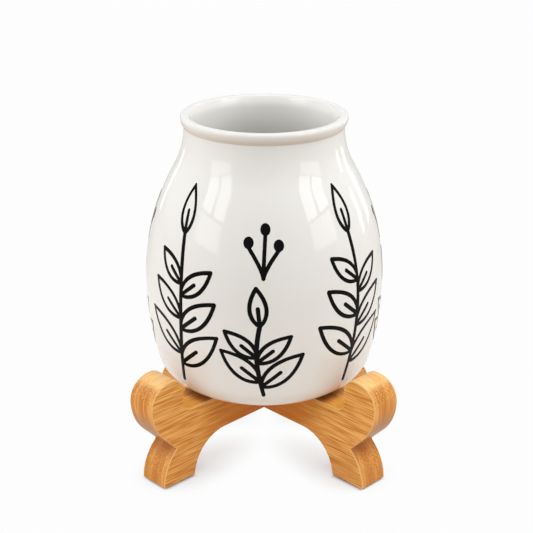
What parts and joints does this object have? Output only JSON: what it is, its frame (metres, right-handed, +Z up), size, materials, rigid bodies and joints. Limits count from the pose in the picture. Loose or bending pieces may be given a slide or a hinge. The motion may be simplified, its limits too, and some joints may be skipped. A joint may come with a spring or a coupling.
{
  "type": "utensil holder",
  "caption": "Bellied white glazed crock with a rolled rim that stands in a cradle of two crossed bamboo planks, for keeping kitchen utensils upright.",
  "frame": {"origin": "on the floor, on the crock's axis, at the middle of the crossed planks", "axes": "+Z up along the crock's axis; +X along the lower plank; +Y along the upper plank; the pictured front lies between +X and -Y"},
  "size_m": [0.2002, 0.2002, 0.2108],
  "materials": {
    "white_glaze": "smooth glossy white glaze",
    "lacquered_bamboo": "satin clear lacquer on laminated bamboo",
    "grey_pad": "matte dark grey non-slip sheet"
  },
  "bodies": {
    "lower_half": {"lower_plank": "lacquered_bamboo", "foot_pad_front_right": "grey_pad", "foot_pad_rear_left": "grey_pad"},
    "upper_half": {"upper_plank": "lacquered_bamboo", "foot_pad_rear_right": "grey_pad", "foot_pad_front_left": "grey_pad"},
    "crock": {"crock": "white_glaze"}
  },
  "joints": [
    {"name": "plank_lift", "type": "slide", "parent": "lower_half", "child": "upper_half", "axis": [0, 0, 1], "range_m": [0, 0.03]},
    {"name": "crock_lift", "type": "slide", "parent": "upper_half", "child": "crock", "axis": [0, 0, 1], "range_m": [0, 0.15]}
  ]
}
